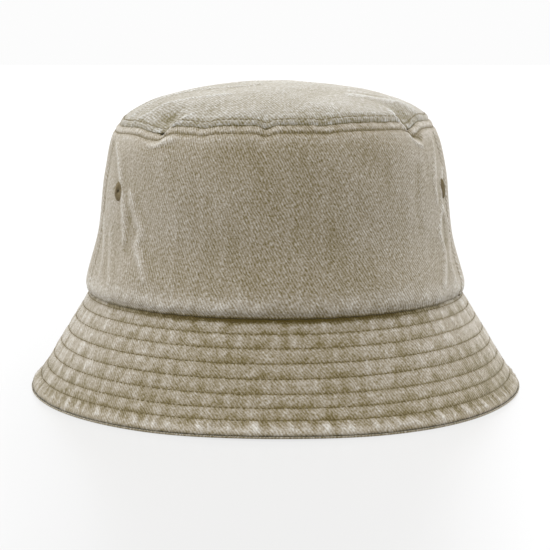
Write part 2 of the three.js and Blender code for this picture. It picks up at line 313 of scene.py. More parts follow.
# Soft dents and swellings near the top seam: azimuth, distance above the seam, two widths, height.
RIM_HOLLOWS = (
    (-45.5, 7.5, 9.0, 5.5, -2.2),
    (-39.5, -7.5, 7.0, 3.0, 0.5),
    (-80.0, 14.0, 16.0, 10.0, -0.9),
    (72.0, 15.0, 18.0, 10.0, 1.1),
    (57.0, 6.0, 6.0, 5.0, -1.4),
    (30.0, 7.0, 24.0, 5.0, 0.5),
    (-15.0, 8.0, 12.0, 5.0, 0.4),
    (114.0, 8.0, 8.0, 6.0, -1.4),
    (201.0, 8.0, 9.0, 6.0, -1.5),
    (150.0, 9.0, 20.0, 7.0, 0.6),
)

# Soft ridges over the top: points of azimuth and distance above the seam, width, height.
DOME_RIDGES = (
    (((-74.0, 1.0), (-70.0, 8.0), (-70.0, 19.0), (-61.8, 37.0), (-17.5, 54.0)), 1.5, 0.55),
    (((-63.5, 1.0), (-58.8, 7.6), (-56.0, 15.2), (-45.2, 21.5), (-25.8, 29.3)), 1.4, 0.5),
    (((44.0, 27.0), (50.0, 24.3), (55.2, 19.1), (63.5, 14.1), (66.5, 8.4), (67.5, 2.5)), 3.2, 0.65),
    (((72.0, 3.0), (70.0, 12.0), (66.0, 22.0), (54.0, 33.0)), 3.0, 0.35),
    (((140.0, 12.0), (165.0, 20.0), (192.0, 17.0)), 6.5, 0.8),
    (((210.0, 8.0), (222.0, 22.0), (240.0, 30.0)), 5.0, 0.6),
    (((100.0, 9.0), (118.0, 24.0), (150.0, 36.0)), 6.0, 0.7),
)

# Folds down the wall: points of azimuth and distance above the head seam, width, height.
WALL_FOLDS = (
    (((-67.5, 76.0), (-64.0, 70.5), (-60.3, 61.5), (-55.8, 46.2), (-53.2, 31.2)), 2.0, 0.7),
    (((-52.0, 53.0), (-50.5, 47.0), (-47.8, 40.9), (-45.0, 36.0), (-46.4, 29.0), (-43.0, 21.0),
      (-40.5, 14.0)), 2.0, 0.65),
    (((-63.0, 33.0), (-60.5, 22.0), (-56.8, 10.0)), 2.0, 0.45),
    (((-71.5, 38.0), (-68.0, 28.0), (-65.5, 20.0), (-64.5, 11.0)), 1.9, 0.5),
    (((-50.2, 43.0), (-52.5, 36.0), (-51.0, 27.0)), 3.2, -0.3),
    (((67.5, 76.0), (64.6, 65.0), (62.2, 57.0), (62.2, 48.0)), 1.8, 0.65),
    (((72.0, 62.0), (67.4, 50.0), (66.4, 43.8), (63.6, 38.0), (62.4, 32.0), (64.0, 25.0), (61.8, 17.0),
      (58.0, 9.0)), 1.8, 0.7),
    (((66.5, 43.8), (71.0, 38.0), (73.0, 31.0), (69.8, 25.3), (66.5, 17.6), (67.0, 10.0)), 1.9, 0.5),
    (((67.6, 40.0), (67.4, 33.0), (66.6, 27.5)), 2.6, -0.5),
    (((52.0, 64.0), (50.0, 50.0), (51.0, 36.0)), 3.4, -0.35),
    (((104.0, 70.0), (112.0, 50.0), (112.0, 30.0), (114.0, 12.0)), 5.0, 0.6),
    (((122.0, 44.0), (125.0, 28.0), (126.0, 12.0)), 4.5, 0.45),
    (((203.0, 66.0), (201.0, 46.0), (203.0, 26.0)), 7.0, 0.6),
    (((236.0, 68.0), (240.0, 48.0), (241.0, 26.0), (244.0, 10.0)), 5.0, 0.6),
    (((252.0, 50.0), (255.0, 34.0), (253.0, 16.0)), 4.0, 0.45),
)


def around(angle):
    """The azimuth brought to -90 to 270 degrees, so that the front and the back are each in one piece."""
    return (np.asarray(angle, float) + 90.0) % 360.0 - 90.0


def seam_drop(angle):
    """How far the top seam sags below its level ring."""
    total = np.zeros(np.shape(angle))
    for turn in (-360.0, 0.0, 360.0):
        for centre, left, right, drop in SEAM_DROPS:
            total = total + drop * uneven_bump(around(angle) + turn, centre, left, right)
    return total


def side_distance(angle, radius):
    """The distance along the cloth to the nearer side seam."""
    from_front = np.abs((np.asarray(angle, float) + 180.0) % 360.0 - 180.0)
    return np.radians(np.abs(from_front - SIDE_SEAM_ANGLE)) * radius


def lines_relief(lines, angle, along, radius):
    """The summed height of creases given by azimuth and distance."""
    total = np.zeros(np.broadcast(angle, along).shape)
    arc = np.radians(around(angle)) * radius
    for points, width, height in lines:
        line = [(math.radians(a) * radius, s) for a, s in rounded_line(points, 4)]
        total = total + height * np.exp(-((distance_to_line(arc, along, line) / width) ** 2))
    return total


def rim_relief(angle, above):
    """The creases that belong to the top seam, on both of its sides."""
    total = lines_relief(RIM_CREASES, angle, above, RIM_RADIUS)
    for centre, level, wide, tall, height in RIM_HOLLOWS:
        across = (around(angle) - centre) / math.degrees(wide / RIM_RADIUS)
        total = total + height * np.exp(-(across**2) - ((above - level) / tall) ** 2)
    return total


def welt(distance, height, stitched, offset):
    """The padded ridge beside a seam, its stitched line and the slight swelling beyond it."""
    ridge = height * np.exp(-(((distance - 0.5 * offset) / (0.42 * offset)) ** 4))
    return ridge - stitched * bump(distance, offset, 0.45) + 0.4 * height * bump(distance, offset + 2.0, 2.0)


def welt_unevenness(angle, radius, seed):
    """Small puckers along a seam, from its thread's pull."""
    ring = ring_place(angle, radius)
    return 1.0 + 0.22 * wave_noise(ring, 4.2, seed) + 0.12 * wave_noise(ring, 11.0, seed + 1)


def side_welt(angle, radius):
    """The side seam's two narrow ridges and stitched lines."""
    distance = side_distance(angle, radius)
    return 0.5 * bump(distance, 1.6, 1.0) - 0.3 * bump(distance, SIDE_STITCH_OFFSET, 0.5)


def eyelet_distance(angle, along, place):
    """The distance over the wall from the middle of an eyelet."""
    arc = np.radians((angle - place[0] + 180.0) % 360.0 - 180.0) * EYELET_RING_RADIUS
    return np.hypot(arc, along - place[1])


def wall_relief(angle, along):
    """How far the crown wall's cloth stands out from its smooth outline."""
    angle, along = np.broadcast_arrays(angle, along)
    below = along - WALL.length - GROOVE_HALF_WIDTH
    ring = ring_place(angle, WALL_FOLD_RADIUS)
    total = sum(height * wave_noise((*ring, along * squeeze), wavelength, seed)
                for height, squeeze, wavelength, seed in WALL_WAVES)
    total = total * smooth_step(along, 0.0, 12.0) * smooth_step(-below, 3.0, 14.0)
    total = total + 0.12 * wave_noise((*ring, along * 0.5), 5.5, 14) * bump(along, 2.5, 5.0)
    total = total + lines_relief(WALL_FOLDS, angle, along, WALL_FOLD_RADIUS)
    total = total + rim_relief(angle, below)
    total = total + welt(-below, 0.62, 0.3, TOP_STITCH_OFFSET) * welt_unevenness(angle, RIM_RADIUS, 15)
    total = total + side_welt(angle, WALL_FOLD_RADIUS) * smooth_step(-below, 4.0, 7.0)
    for place in EYELET_PLACES.values():
        near = np.exp(-(eyelet_distance(angle, along, place) ** 2) / EYELET_DENT_SPREAD)
        total = total - EYELET_DENT * near
    return total


def dome_relief(angle, along):
    """How far the top's cloth stands out from its smooth dome."""
    angle, along = np.broadcast_arrays(angle, along)
    above = along + GROOVE_HALF_WIDTH
    flat = ring_place(angle, DOME.length - along)
    total = sum(height * wave_noise(flat, wavelength, seed) for height, wavelength, seed in DOME_WAVES)
    total = total * smooth_step(above, 3.0, 14.0)
    for points, width, height in DOME_RIDGES:
        line = [ring_place(a, DOME.length - s) for a, s in rounded_line(points, 6)]
        total = total + height * np.exp(-((distance_to_line(*flat, line) / width) ** 2))
    total = total + rim_relief(angle, above)
    return total + welt(above, 0.42, 0.08, UPPER_STITCH_OFFSET) * welt_unevenness(angle, RIM_RADIUS, 23)


def crown_point(outline, angle, along, from_seam, reach, lift):
    """A point of the crown, lifted off its outline and drawn down and out where the top seam sags."""
    radius, height = outline.place(along)
    out_r, out_z = outline.outward(along)
    drop = seam_drop(angle) * (1.0 - smooth_step(from_seam, 0.0, reach))
    radius = radius + out_r * lift + SHOULDER_SWELL * drop * side_share(angle)
    return stand(np.maximum(radius, CENTRE_RADIUS), angle, height + out_z * lift - drop)


def wall_point(angle, along, lift):
    return crown_point(WALL, angle, along, WALL.length - along, WALL_DROP_REACH, lift)


def dome_point(angle, along, lift):
    return crown_point(DOME, angle, along, along, DOME_DROP_REACH, lift)


# --- how the brim is quilted

EDGE_BAND_TOP = ROWS_ALONG[-1]
EDGE_SAG = 0.6
EDGE_SWELL_PLACE = 38.0
EDGE_SWELL_WIDTH = 20.0
EDGE_SWELL = 1.7
SAG_REACH = 24.0
BRIM_RING_RADIUS = 108.0
INTERLINING_LIFT = -1.05
INTERLINING_THICKNESS = 0.5
EDGE_RING_RADIUS = 118.0
ROPE_SPACING = 7.3
DEEPEST_BRIM_HOLLOW = -0.3


def row_profile(along):
    """0 on each row of stitches, 1 halfway between two rows."""
    knots = np.array(sorted(ROWS_ALONG))
    knots = np.concatenate([[-1.2], knots, [BRIM.length + 2.0]])
    index = np.clip(np.searchsorted(knots, along) - 1, 0, len(knots) - 2)
    share = (along - knots[index]) / (knots[index + 1] - knots[index])
    return np.sin(math.pi * np.clip(share, 0.0, 1.0)) ** 0.6, index


def puckers(angle, along, seed):
    """The small gathers that run across the rows."""
    channel = row_profile(along)[1]
    ring = ring_place(angle, BRIM_RING_RADIUS)
    own = wave_noise((*ring, channel * 9.0 + along * 0.2), 7.0, seed)
    shared = wave_noise((*ring, along * 0.14), 9.0, seed + 1)
    crisp = wave_noise((*ring, along * 0.12 + channel * 1.5), 8.0, seed + 2)
    return 0.4 * own + 0.4 * shared + 1.3 * (bump(crisp, 0.0, 0.38) - 0.3)


def edge_ropes(angle, along):
    """The slanting ridges of the last band, where its cloth is twisted round the edge."""
    arc = np.radians(angle) * EDGE_RING_RADIUS
    drift = 2.1 * wave_noise(ring_place(angle, EDGE_RING_RADIUS), 24.0, 33)
    wave = np.cos(2 * math.pi * (arc + 0.35 * along) / ROPE_SPACING + drift)
    band = smooth_step(EDGE_BAND_TOP - along, 0.0, 2.0) * smooth_step(along, -0.5, 2.0)
    return band * 0.3 * (2.2 * (0.5 + 0.5 * wave) ** 5.5 - 0.5)


def brim_relief(angle, along):
    """How far the brim's top cloth swells above its stitched rows."""
    angle, along = np.broadcast_arrays(angle, along)
    between, _ = row_profile(along)
    depth = (0.12 + 0.1 * side_share(angle)) * (0.45 + 0.55 * between)
    total = 0.2 * between - 0.15 + depth * puckers(angle, along, 31)
    for row in ROWS_ALONG:
        total = total - 0.1 * bump(along, row, 0.4)
    total = total + edge_ropes(angle, along) + 0.3 * bump(along, 1.0, 2.0)
    total = total + 0.35 * side_welt(angle, BRIM_RING_RADIUS)
    return np.maximum(total, DEEPEST_BRIM_HOLLOW)


def edge_sag(angle):
    """How far the brim's edge hangs below its height at the front and the back, where it lifts a little."""
    from_front = np.abs((np.asarray(angle, float) + 2.0 + 180.0) % 360.0 - 180.0)
    return EDGE_SAG * smooth_step(np.minimum(from_front, 180.0 - from_front), 2.0, 27.0)


def brim_point(angle, along, lift, outline=BRIM):
    """A point of the brim, lifted off its outline."""
    radius, height = outline.place(along)
    out_r, out_z = outline.outward(along)
    share = 1.0 - smooth_step(along, 0.0, SAG_REACH)
    swell = EDGE_SWELL * bump(around(angle), EDGE_SWELL_PLACE, EDGE_SWELL_WIDTH)
    radius = radius + out_r * lift + swell * share
    return stand(radius, angle, height + out_z * lift - edge_sag(angle) * share)


def under_point(angle, along, lift):
    """A point of the brim's under side, lifted off its outline."""
    return brim_point(angle, along, lift, UNDER)


# --- meshes


def slab_faces(rows, columns, wrap, keep, cap):
    """Faces of the outer skin as rows of four corners, and the three-cornered ones at a closed centre."""
    index = np.arange(rows * columns).reshape(rows, columns)
    right = np.roll(index, -1, axis=1) if wrap else index[:, 1:]
    left = index if wrap else index[:, :-1]
    quads = np.stack([left[:-1], right[:-1], right[1:], left[1:]], axis=-1)
    quads = quads[keep] if keep is not None else quads.reshape(-1, 4)
    triangles = np.zeros((0, 3), int)
    if cap:
        centre = np.full(columns, rows * columns)
        triangles = np.stack([index[-1], np.roll(index[-1], -1), centre], axis=-1)
    return quads, triangles


def slab(outer, inner, wrap=False, keep=None, cap=False):
    """Points and faces of a closed sheet of cloth between its two skins."""
    rows, columns = outer.shape[:2]
    quads, triangles = slab_faces(rows, columns, wrap, keep, cap)
    skins = []
    for skin in (outer, inner):
        points = skin.reshape(-1, 3)
        if cap:
            points = np.vstack([points, skin[-1].mean(axis=0)])
        skins.append(points)
    count = len(skins[0])
    edges = [quads[:, [k, (k + 1) % 4]] for k in range(4)]
    edges += [triangles[:, [k, (k + 1) % 3]] for k in range(3)]
    edges = np.concatenate(edges)
    open_edges = edges[~np.isin(edges[:, 0] * count + edges[:, 1], edges[:, 1] * count + edges[:, 0])]
    start, end = open_edges[:, 0], open_edges[:, 1]
    border = np.stack([end, start, start + count, end + count], axis=-1)
    all_quads = np.concatenate([quads, quads[:, ::-1] + count, border])
    all_triangles = np.concatenate([triangles, triangles[:, ::-1] + count])
    used = np.zeros(2 * count, bool)
    used[all_quads.ravel()] = True
    used[all_triangles.ravel()] = True
    renumber = np.cumsum(used) - 1
    faces = renumber[all_quads].tolist() + renumber[all_triangles].tolist()
    return np.vstack(skins)[used], faces, used


# How much darker the inner skin of each sheet is drawn.
INNER_SKIN_DARKENING = -0.15
CROWN_SIDE_GAP = 0.4
BRIM_SIDE_GAP = 0.2
EYELET_CUT = 2.6
LINING_RING_RADIUS = 85.0


def place_object(name, data):
    """A new object in the scene."""
    thing = bpy.data.objects.new(name, data)
    bpy.context.scene.collection.objects.link(thing)
    return thing


def make_piece(name, points, faces, material, cloth=None, wear_and_painted_light=None):
    """A named piece in place of the CAD node of the same name."""
    mesh = bpy.data.meshes.new(name)
    mesh.from_pydata((points * MM).tolist(), [], faces)
    mesh.polygons.foreach_set("use_smooth", np.ones(len(mesh.polygons), bool))
    if cloth is not None:
        store = mesh.attributes.new("cloth", "FLOAT_VECTOR", "POINT")
        store.data.foreach_set("vector", cloth.astype(np.float32).ravel())
        # A value that lightens or darkens the cloth: the wash's wear on ridges, together with painted light
        # and shade
        store = mesh.attributes.new("wear_and_painted_light", "FLOAT", "POINT")
        store.data.foreach_set("value", wear_and_painted_light.astype(np.float32).ravel())
    mesh.materials.append(material)
    mesh.update()
    piece = place_object(f"{name}_detailed", mesh)
    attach(piece, "root")
    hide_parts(name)


def blurred(grid, times, wrap):
    """The grid after spreading each value over its neighbours."""
    for _ in range(times):
        above = np.vstack([grid[1:], grid[-1:]])
        below = np.vstack([grid[:1], grid[:-1]])
        if wrap:
            after, before = np.roll(grid, -1, axis=1), np.roll(grid, 1, axis=1)
        else:
            after = np.hstack([grid[:, 1:], grid[:, -1:]])
            before = np.hstack([grid[:, :1], grid[:, :-1]])
        grid = (above + below + after + before + 2.0 * grid) / 6.0
    return grid


def cloth_piece(name, material, place, relief, wear_and_painted_light, cloth, lift, thickness,
                wrap=False, keep=None, cap=False):
    """A sheet of cloth whose outer skin follows its relief and whose inner skin lies one thickness below."""
    outer = place(relief + lift)
    inner = place(relief * 0.9 + lift - thickness)
    points, faces, used = slab(outer, inner, wrap, keep, cap)
    flat_cloth = cloth.reshape(-1, 3)
    flat_wear_and_painted_light = wear_and_painted_light.reshape(-1)
    if cap:
        flat_cloth = np.vstack([flat_cloth, flat_cloth[-1:]])
        flat_wear_and_painted_light = np.append(flat_wear_and_painted_light, flat_wear_and_painted_light[-1])
    flat_cloth = np.vstack([flat_cloth, flat_cloth])[used]
    flat_wear_and_painted_light = np.concatenate([flat_wear_and_painted_light, np.full(len(flat_wear_and_painted_light), INNER_SKIN_DARKENING)])[used]
    make_piece(name, points, faces, material, flat_cloth, flat_wear_and_painted_light)


def unrolled(angle, radius, along):
    """Flat coordinates of a cloth that goes round a ring."""
    return np.stack([np.radians(angle) * radius, along, 0.0 * angle], axis=-1)


def spaced(low, high, spacing):
    """Values from low to high, about one spacing apart, without the last."""
    count = max(1, round((high - low) / spacing))
    return low + (high - low) * np.arange(count) / count


def panel_columns(first, last, spacing, radius, gap):
    """Azimuths across a panel and how far the cloth sinks where it turns in at the side seams."""
    trim = math.degrees(gap / radius)
    body = np.append(spaced(first + trim, last - trim, math.degrees(spacing / radius)), last - trim)
    turn = np.radians(np.linspace(0.0, 90.0, 6)[1:])
    ahead = np.degrees(HEM_RADIUS * np.sin(turn) / radius)
    sink = HEM_RADIUS * (1.0 - np.cos(turn))
    angles = np.concatenate([(body[0] - ahead)[::-1], body, body[-1] + ahead])
    sinks = np.concatenate([sink[::-1], np.zeros(len(body)), sink])
    return angles, sinks


# --- materials


class Wiring:
    """A new material, with short ways to add and wire its nodes."""

    def __init__(self, name):
        self.material = bpy.data.materials.new(name)
        self.material.use_nodes = True
        self.nodes = self.material.node_tree.nodes

    def feed(self, socket, value):
        """Wires an output to the socket, or sets the socket to a constant."""
        if isinstance(value, bpy.types.NodeSocket):
            self.material.node_tree.links.new(value, socket)
        else:
            socket.default_value = value

    def add(self, kind, inputs, operation=None):
        node = self.nodes.new(f"ShaderNode{kind}")
        if operation:
            node.operation = operation
        for key, value in inputs.items():
            self.feed(node.inputs[key], value)
        return node

    def attribute(self, name):
        node = self.nodes.new("ShaderNodeAttribute")
        node.attribute_name = name
        return node

    def total(self, first, second, clamp=False):
        node = self.add("Math", {0: first, 1: second}, "ADD")
        node.use_clamp = clamp
        return node.outputs[0]

    def product(self, first, second):
        return self.add("Math", {0: first, 1: second}, "MULTIPLY").outputs[0]

    def dot(self, vector, direction):
        return self.add("VectorMath", {0: vector, 1: direction}, "DOT_PRODUCT").outputs["Value"]

    def noise(self, vector, scale, detail=2.0, roughness=0.5, stretch=(1.0, 1.0, 1.0)):
        scaled = self.add("VectorMath", {0: vector, 1: stretch}, "MULTIPLY").outputs[0]
        inputs = {"Vector": scaled, "Scale": scale, "Detail": detail, "Roughness": roughness}
        return self.add("TexNoise", inputs).outputs["Fac"]

    def shade(self, inputs):
        """Feeds the shader's own sockets."""
        for key, value in inputs.items():
            self.feed(self.nodes["Principled BSDF"].inputs[key], value)

    def colour(self, value, stops):
        """Colours the shader by a ramp of positions and their colours."""
        ramp = self.add("ValToRGB", {0: value})
        elements = ramp.color_ramp.elements
        while len(elements) < len(stops):
            elements.new(0.5)
        for element, (position, colour) in zip(elements, stops):
            element.position = position
            element.color = (*colour, 1.0)
        self.shade({"Base Color": ramp.outputs[0]})

    def bumps(self, height, strength, depth):
        """Roughens the shader's surface, by a height in millimetres."""
        inputs = {"Strength": strength, "Distance": depth * MM, "Height": height}
        self.shade({"Normal": self.add("Bump", inputs).outputs[0]})


TWILL_PITCH = 1.2
TWILL_SHADES = (
    (0.00, (0.050, 0.033, 0.001)),
    (0.25, (0.107, 0.084, 0.033)),
    (0.50, (0.197, 0.168, 0.120)),
    (0.75, (0.298, 0.274, 0.233)),
    (1.00, (0.430, 0.418, 0.380)),
)


def twill_material(name, lean, shades=TWILL_SHADES, contrast=1.0, mottle=0.10, grain=0.3):
    """Washed cotton twill: diagonal ribs of broken yarns, coloured by a value that carries wear and painted
    light and shade: lighter on ridges, darker in hollows.
    """
    wiring = Wiring(name)
    place = wiring.attribute("cloth").outputs["Vector"]
    wear_and_painted_light = wiring.attribute("wear_and_painted_light").outputs["Fac"]
    turn = math.radians(lean)
    across = (math.sin(turn) / TWILL_PITCH, math.cos(turn) / TWILL_PITCH, 0.0)
    along = (-math.cos(turn), math.sin(turn), 0.0)
    drift = wiring.product(wiring.noise(place, 0.16, 2.0), 1.6)
    phase = wiring.total(wiring.dot(place, across), drift)
    wave = wiring.add("Math", {0: wiring.product(phase, 2.0 * math.pi)}, "SINE").outputs[0]
    run = wiring.product(wiring.dot(place, along), 0.62)
    yarn = wiring.noise(wiring.add("CombineXYZ", {0: phase, 1: run}).outputs[0], 1.2, 1.0, 0.6)
    # Each part of the colour: its source, its middle value and its weight.
    parts = (
        (wave, 0.0, 0.08 * contrast),
        (yarn, 0.5, 0.62 * contrast),
        (wiring.noise(place, 0.55, 2.0, 0.75), 0.5, grain * contrast),
        (wiring.noise(place, 0.045, 3.0, 0.55), 0.5, 3.0 * mottle),
        (wiring.noise(place, 0.3, 2.0, 0.5, (1.0, 0.12, 1.0)), 0.5, 1.2 * mottle),
        (wear_and_painted_light, 0.0, 0.5),
    )
    value = 0.0
    for source, middle, weight in parts:
        offset = wiring.add("Math", {0: source, 1: middle}, "SUBTRACT").outputs[0]
        value = wiring.total(value, wiring.product(offset, weight))
    wiring.colour(wiring.total(value, 0.5, clamp=True), shades)
    wiring.bumps(wiring.total(wiring.product(wave, 0.5), wiring.product(yarn, 1.6)), 0.75, 0.12)
    wiring.shade({
        "Roughness": wiring.total(wiring.product(yarn, 0.12), 0.84),
        "Specular IOR Level": 0.1,
        "Sheen Weight": 0.25,
        "Sheen Roughness": 0.55,
        "Sheen Tint": (1.0, 0.99, 0.96, 1.0),
    })
    return wiring.material


def plain_cloth_material(name, dark, light, thread_size):
    """A fine plain-woven or felted cloth, or spun thread, with small uneven fibres."""
    wiring = Wiring(name)
    place = wiring.add("TexCoord", {}).outputs["Object"]
    fibre = wiring.noise(place, 1.0 / (thread_size * MM), 3.0, 0.65)
    cloud = wiring.product(wiring.noise(place, 60.0, 2.0), 0.3)
    value = wiring.total(wiring.product(fibre, 0.7), cloud, clamp=True)
    wiring.colour(value, ((0.3, dark), (0.7, light)))
    wiring.bumps(fibre, 0.6, 0.1)
    rough = wiring.total(wiring.product(fibre, 0.15), 0.8)
    wiring.shade({"Roughness": rough, "Specular IOR Level": 0.25})
    return wiring.material


# The top's colours: the cloth's shades made lighter and greyer, painted light from the top lamp.
DOME_LIT_SHADES = tuple(
    (place, (r * 1.05, g * 1.12, b * (1.37 - 0.2 * place))) for place, (r, g, b) in TWILL_SHADES
)
WALL_TWILL = twill_material("crown_twill", 62.0, contrast=1.28, mottle=0.07, grain=0.38)
DOME_TWILL = twill_material("top_twill", 62.0, shades=DOME_LIT_SHADES, contrast=1.12, mottle=0.06, grain=0.75)
BRIM_TWILL = twill_material("brim_twill", 52.0, contrast=1.05, mottle=0.07, grain=0.6)
ROW_THREAD = plain_cloth_material("row_thread", (0.075, 0.054, 0.018), (0.13, 0.102, 0.050), 0.35)
SEAM_THREAD = plain_cloth_material("seam_thread", (0.11, 0.086, 0.042), (0.19, 0.158, 0.105), 0.35)
EYELET_THREAD = plain_cloth_material("eyelet_thread", (0.105, 0.078, 0.034), (0.195, 0.158, 0.095), 0.35)
BAND_COTTON = plain_cloth_material("sweatband_cotton", (0.26, 0.235, 0.18), (0.40, 0.37, 0.30), 0.5)
TAPE_COTTON = plain_cloth_material("seam_tape_cotton", (0.22, 0.19, 0.14), (0.33, 0.30, 0.24), 0.5)
INTERLINING_CLOTH = plain_cloth_material("interlining_cloth", (0.55, 0.53, 0.48), (0.72, 0.70, 0.66), 0.7)
LABEL_CLOTH = plain_cloth_material("label_cloth", (0.62, 0.61, 0.57), (0.78, 0.77, 0.74), 0.3)


# --- crown

PANELS = {
    "front": (-SIDE_SEAM_ANGLE, SIDE_SEAM_ANGLE),
    "back": (SIDE_SEAM_ANGLE, 360.0 - SIDE_SEAM_ANGLE),
}


def relief_wear_and_shade(relief, wrap, fine=6, coarse=60):
    """Positive on ridges, where the wash wore the dye lighter, and negative in hollows: partly dye the wash
    reached less, partly painted shade.
    """
    return blurred(relief, fine, wrap) - blurred(relief, coarse, wrap)


def crown_panel(side, spacing):
    first, last = PANELS[side]
    angles, sinks = panel_columns(first, last, spacing, WALL_FOLD_RADIUS, CROWN_SIDE_GAP)
    along = np.concatenate([
        np.linspace(WALL.first, 0.0, 7)[:-1],
        spaced(0.0, WALL.length - 16.0, spacing + 0.05),
        spaced(WALL.length - 16.0, WALL.length, 0.5),
        np.linspace(WALL.length, WALL.last, 7),
    ])
    angle, step = np.meshgrid(angles, along)
    relief = wall_relief(angle, np.clip(step, 0.0, WALL.length))
    wear_and_painted_light = 1.15 * relief_wear_and_shade(relief, False)
    below = WALL.length - step
    # A lighter band just below the top seam's welt, and a dark line of painted shade along the stitched dip.
    wear_and_painted_light = wear_and_painted_light + 0.14 * bump(below, 7.0, 3.0) - 0.32 * bump(below, TOP_STITCH_OFFSET - 0.5, 0.45)
    # Painted light and shade matched to how the lamps fall: lighter near the bottom, where the wall bulges
    # out and faces down, a little lighter at mid height, darker at the front and lighter at the sides.
    wear_and_painted_light = wear_and_painted_light + 0.29 * bump(step, 5.5, 4.5) + 0.07 * bump(step, 45.0, 30.0)
    wear_and_painted_light = wear_and_painted_light - 0.13 * bump(around(angle), 5.0, 32.0) + 0.06 * np.sin(np.radians(angle)) ** 2
    # Painted shade in the crevices of the head seam and the top seam, partly also dye the wash reached less.
    wear_and_painted_light = wear_and_painted_light - 1.3 * smooth_step(-step, -0.35, 0.35) - 1.2 * smooth_step(-below, -0.1, 0.8)
    relief = relief - sinks[None, :]
    # Painted shade where the cloth turns in at the side seams.
    wear_and_painted_light = wear_and_painted_light - 0.5 * (sinks[None, :] > 0.15)
    cloth = unrolled(angle, WALL_FOLD_RADIUS, step)
    centre_angle = 0.5 * (angle[:-1, :-1] + angle[1:, 1:])
    centre_along = 0.5 * (step[:-1, :-1] + step[1:, 1:])
    keep = np.ones(centre_angle.shape, bool)
    for place in EYELET_PLACES.values():
        keep &= eyelet_distance(centre_angle, centre_along, place) > EYELET_CUT
    cloth_piece(
        f"crown_{side}_panel", WALL_TWILL, lambda lift: wall_point(angle, step, lift),
        relief, wear_and_painted_light, cloth, 0.0, TWILL_THICKNESS, keep=keep,
    )


def crown_top():
    angles = np.arange(520) * 360.0 / 520
    along = np.concatenate([
        np.linspace(DOME.first, 0.0, 7)[:-1],
        spaced(0.0, 14.0, 0.5),
        spaced(14.0, DOME.length - 1.0, 1.2),
        [DOME.length - 0.6],
    ])
    angle, step = np.meshgrid(angles, along)
    relief = dome_relief(angle, np.clip(step, 0.0, DOME.length))
    wear_and_painted_light = 1.3 * relief_wear_and_shade(relief, True, 3, 40)
    # Painted shade beside the top seam, along the stitched dip and in the seam's groove, partly also dye the
    # wash reached less.
    wear_and_painted_light = wear_and_painted_light - 0.25 * bump(step, 1.2, 1.3) - 0.3 * bump(step, UPPER_STITCH_OFFSET - 0.5, 0.38)
    wear_and_painted_light = wear_and_painted_light - 1.2 * smooth_step(-step, -0.1, 0.8)
    right, back = ring_place(angle, DOME.length - step)
    cloth = np.stack([right, -back, 0.0 * angle], axis=-1)
    cloth_piece(
        "crown_top", DOME_TWILL, lambda lift: dome_point(angle, step, lift),
        relief, wear_and_painted_light, cloth, 0.0, TWILL_THICKNESS, wrap=True, cap=True,
    )


# --- brim


def brim_cloth(angle, along):
    """Flat coordinates of the brim's cut: a ring sector, unrolled."""
    return unrolled(angle, BRIM.place(along)[0], along)


def brim_upper(side, spacing):
    first, last = PANELS[side]
    angles, sinks = panel_columns(first, last, spacing, BRIM_RING_RADIUS, BRIM_SIDE_GAP)
    along = np.concatenate([
        np.linspace(BRIM.first, 0.0, 7)[:-1],
        spaced(0.0, BRIM.length, 0.6),
        [BRIM.length],
    ])
    angle, step = np.meshgrid(angles, along)
    relief = brim_relief(angle, np.clip(step, 0.0, BRIM.length))
    wear_and_painted_light = 1.7 * relief_wear_and_shade(relief, False, 3, 30)
    turn = np.radians(angle)
    patch = wave_noise((*ring_place(angle, BRIM_RING_RADIUS), step * 1.2), 12.0, 41)
    # Around each row: lighter just on its edge side, darker in patches just on its head side, and a dark
    # line of painted shade along the stitched dip.
    for row in ROWS_ALONG:
        wear_and_painted_light = wear_and_painted_light + 0.08 * bump(step, row - 1.4, 1.1)
        wear_and_painted_light = wear_and_painted_light - (0.07 + 0.12 * patch) * bump(step, row + 1.6, 2.0)
        wear_and_painted_light = wear_and_painted_light - 0.3 * bump(step, row, 0.4)
    sideways = np.sin(turn) ** 2
    # Pucker tops drawn lighter, most at the sides: partly wear, partly painted highlight.
    wear_and_painted_light = wear_and_painted_light + (0.03 + 0.05 * sideways) * puckers(angle, step, 31)
    # At the sides: painted shade near the edge and painted light towards the head seam.
    side_edge_shade = 0.22 * (1.0 - smooth_step(step, 2.0, 18.0))
    wear_and_painted_light = wear_and_painted_light + sideways * (0.2 * smooth_step(step, 8.0, 30.0) - side_edge_shade)
    # Painted shade on the brim beside the right side seam.
    wear_and_painted_light = wear_and_painted_light - 0.34 * bump(angle, 62.0, 13.0) * bump(step, 18.0, 14.0)
    front_share = np.maximum(np.abs(np.cos(turn)), 0.25) ** 2
    # Painted shade over the front, and the edge roll drawn lighter, most at the front: partly wear, partly
    # painted light.
    wear_and_painted_light = wear_and_painted_light - 0.08 * front_share + (0.03 + 0.26 * front_share) * bump(step, 0.8, 2.2)
    # Painted shade on the hem that rolls under the edge.
    wear_and_painted_light = wear_and_painted_light - 0.6 * smooth_step(-step, 0.9, 1.5)
    # Painted shade along the head seam at the front: the crown's overhang in uneven patches and a dark
    # crease line, partly also dye the wash reached less.
    shade = smooth_step(step + 0.9 * patch, BRIM_SEAM_ALONG - 3.6, BRIM_SEAM_ALONG - 2.4)
    crease_shade = smooth_step(step, BRIM_SEAM_ALONG - 2.2, BRIM_SEAM_ALONG - 0.6)
    wear_and_painted_light = wear_and_painted_light - front_share * (0.45 * shade + 1.3 * crease_shade)
    relief = relief - sinks[None, :]
    cloth_piece(
        f"brim_upper_{side}", BRIM_TWILL, lambda lift: brim_point(angle, step, lift),
        relief, wear_and_painted_light, brim_cloth(angle, step), 0.0, TWILL_THICKNESS,
    )


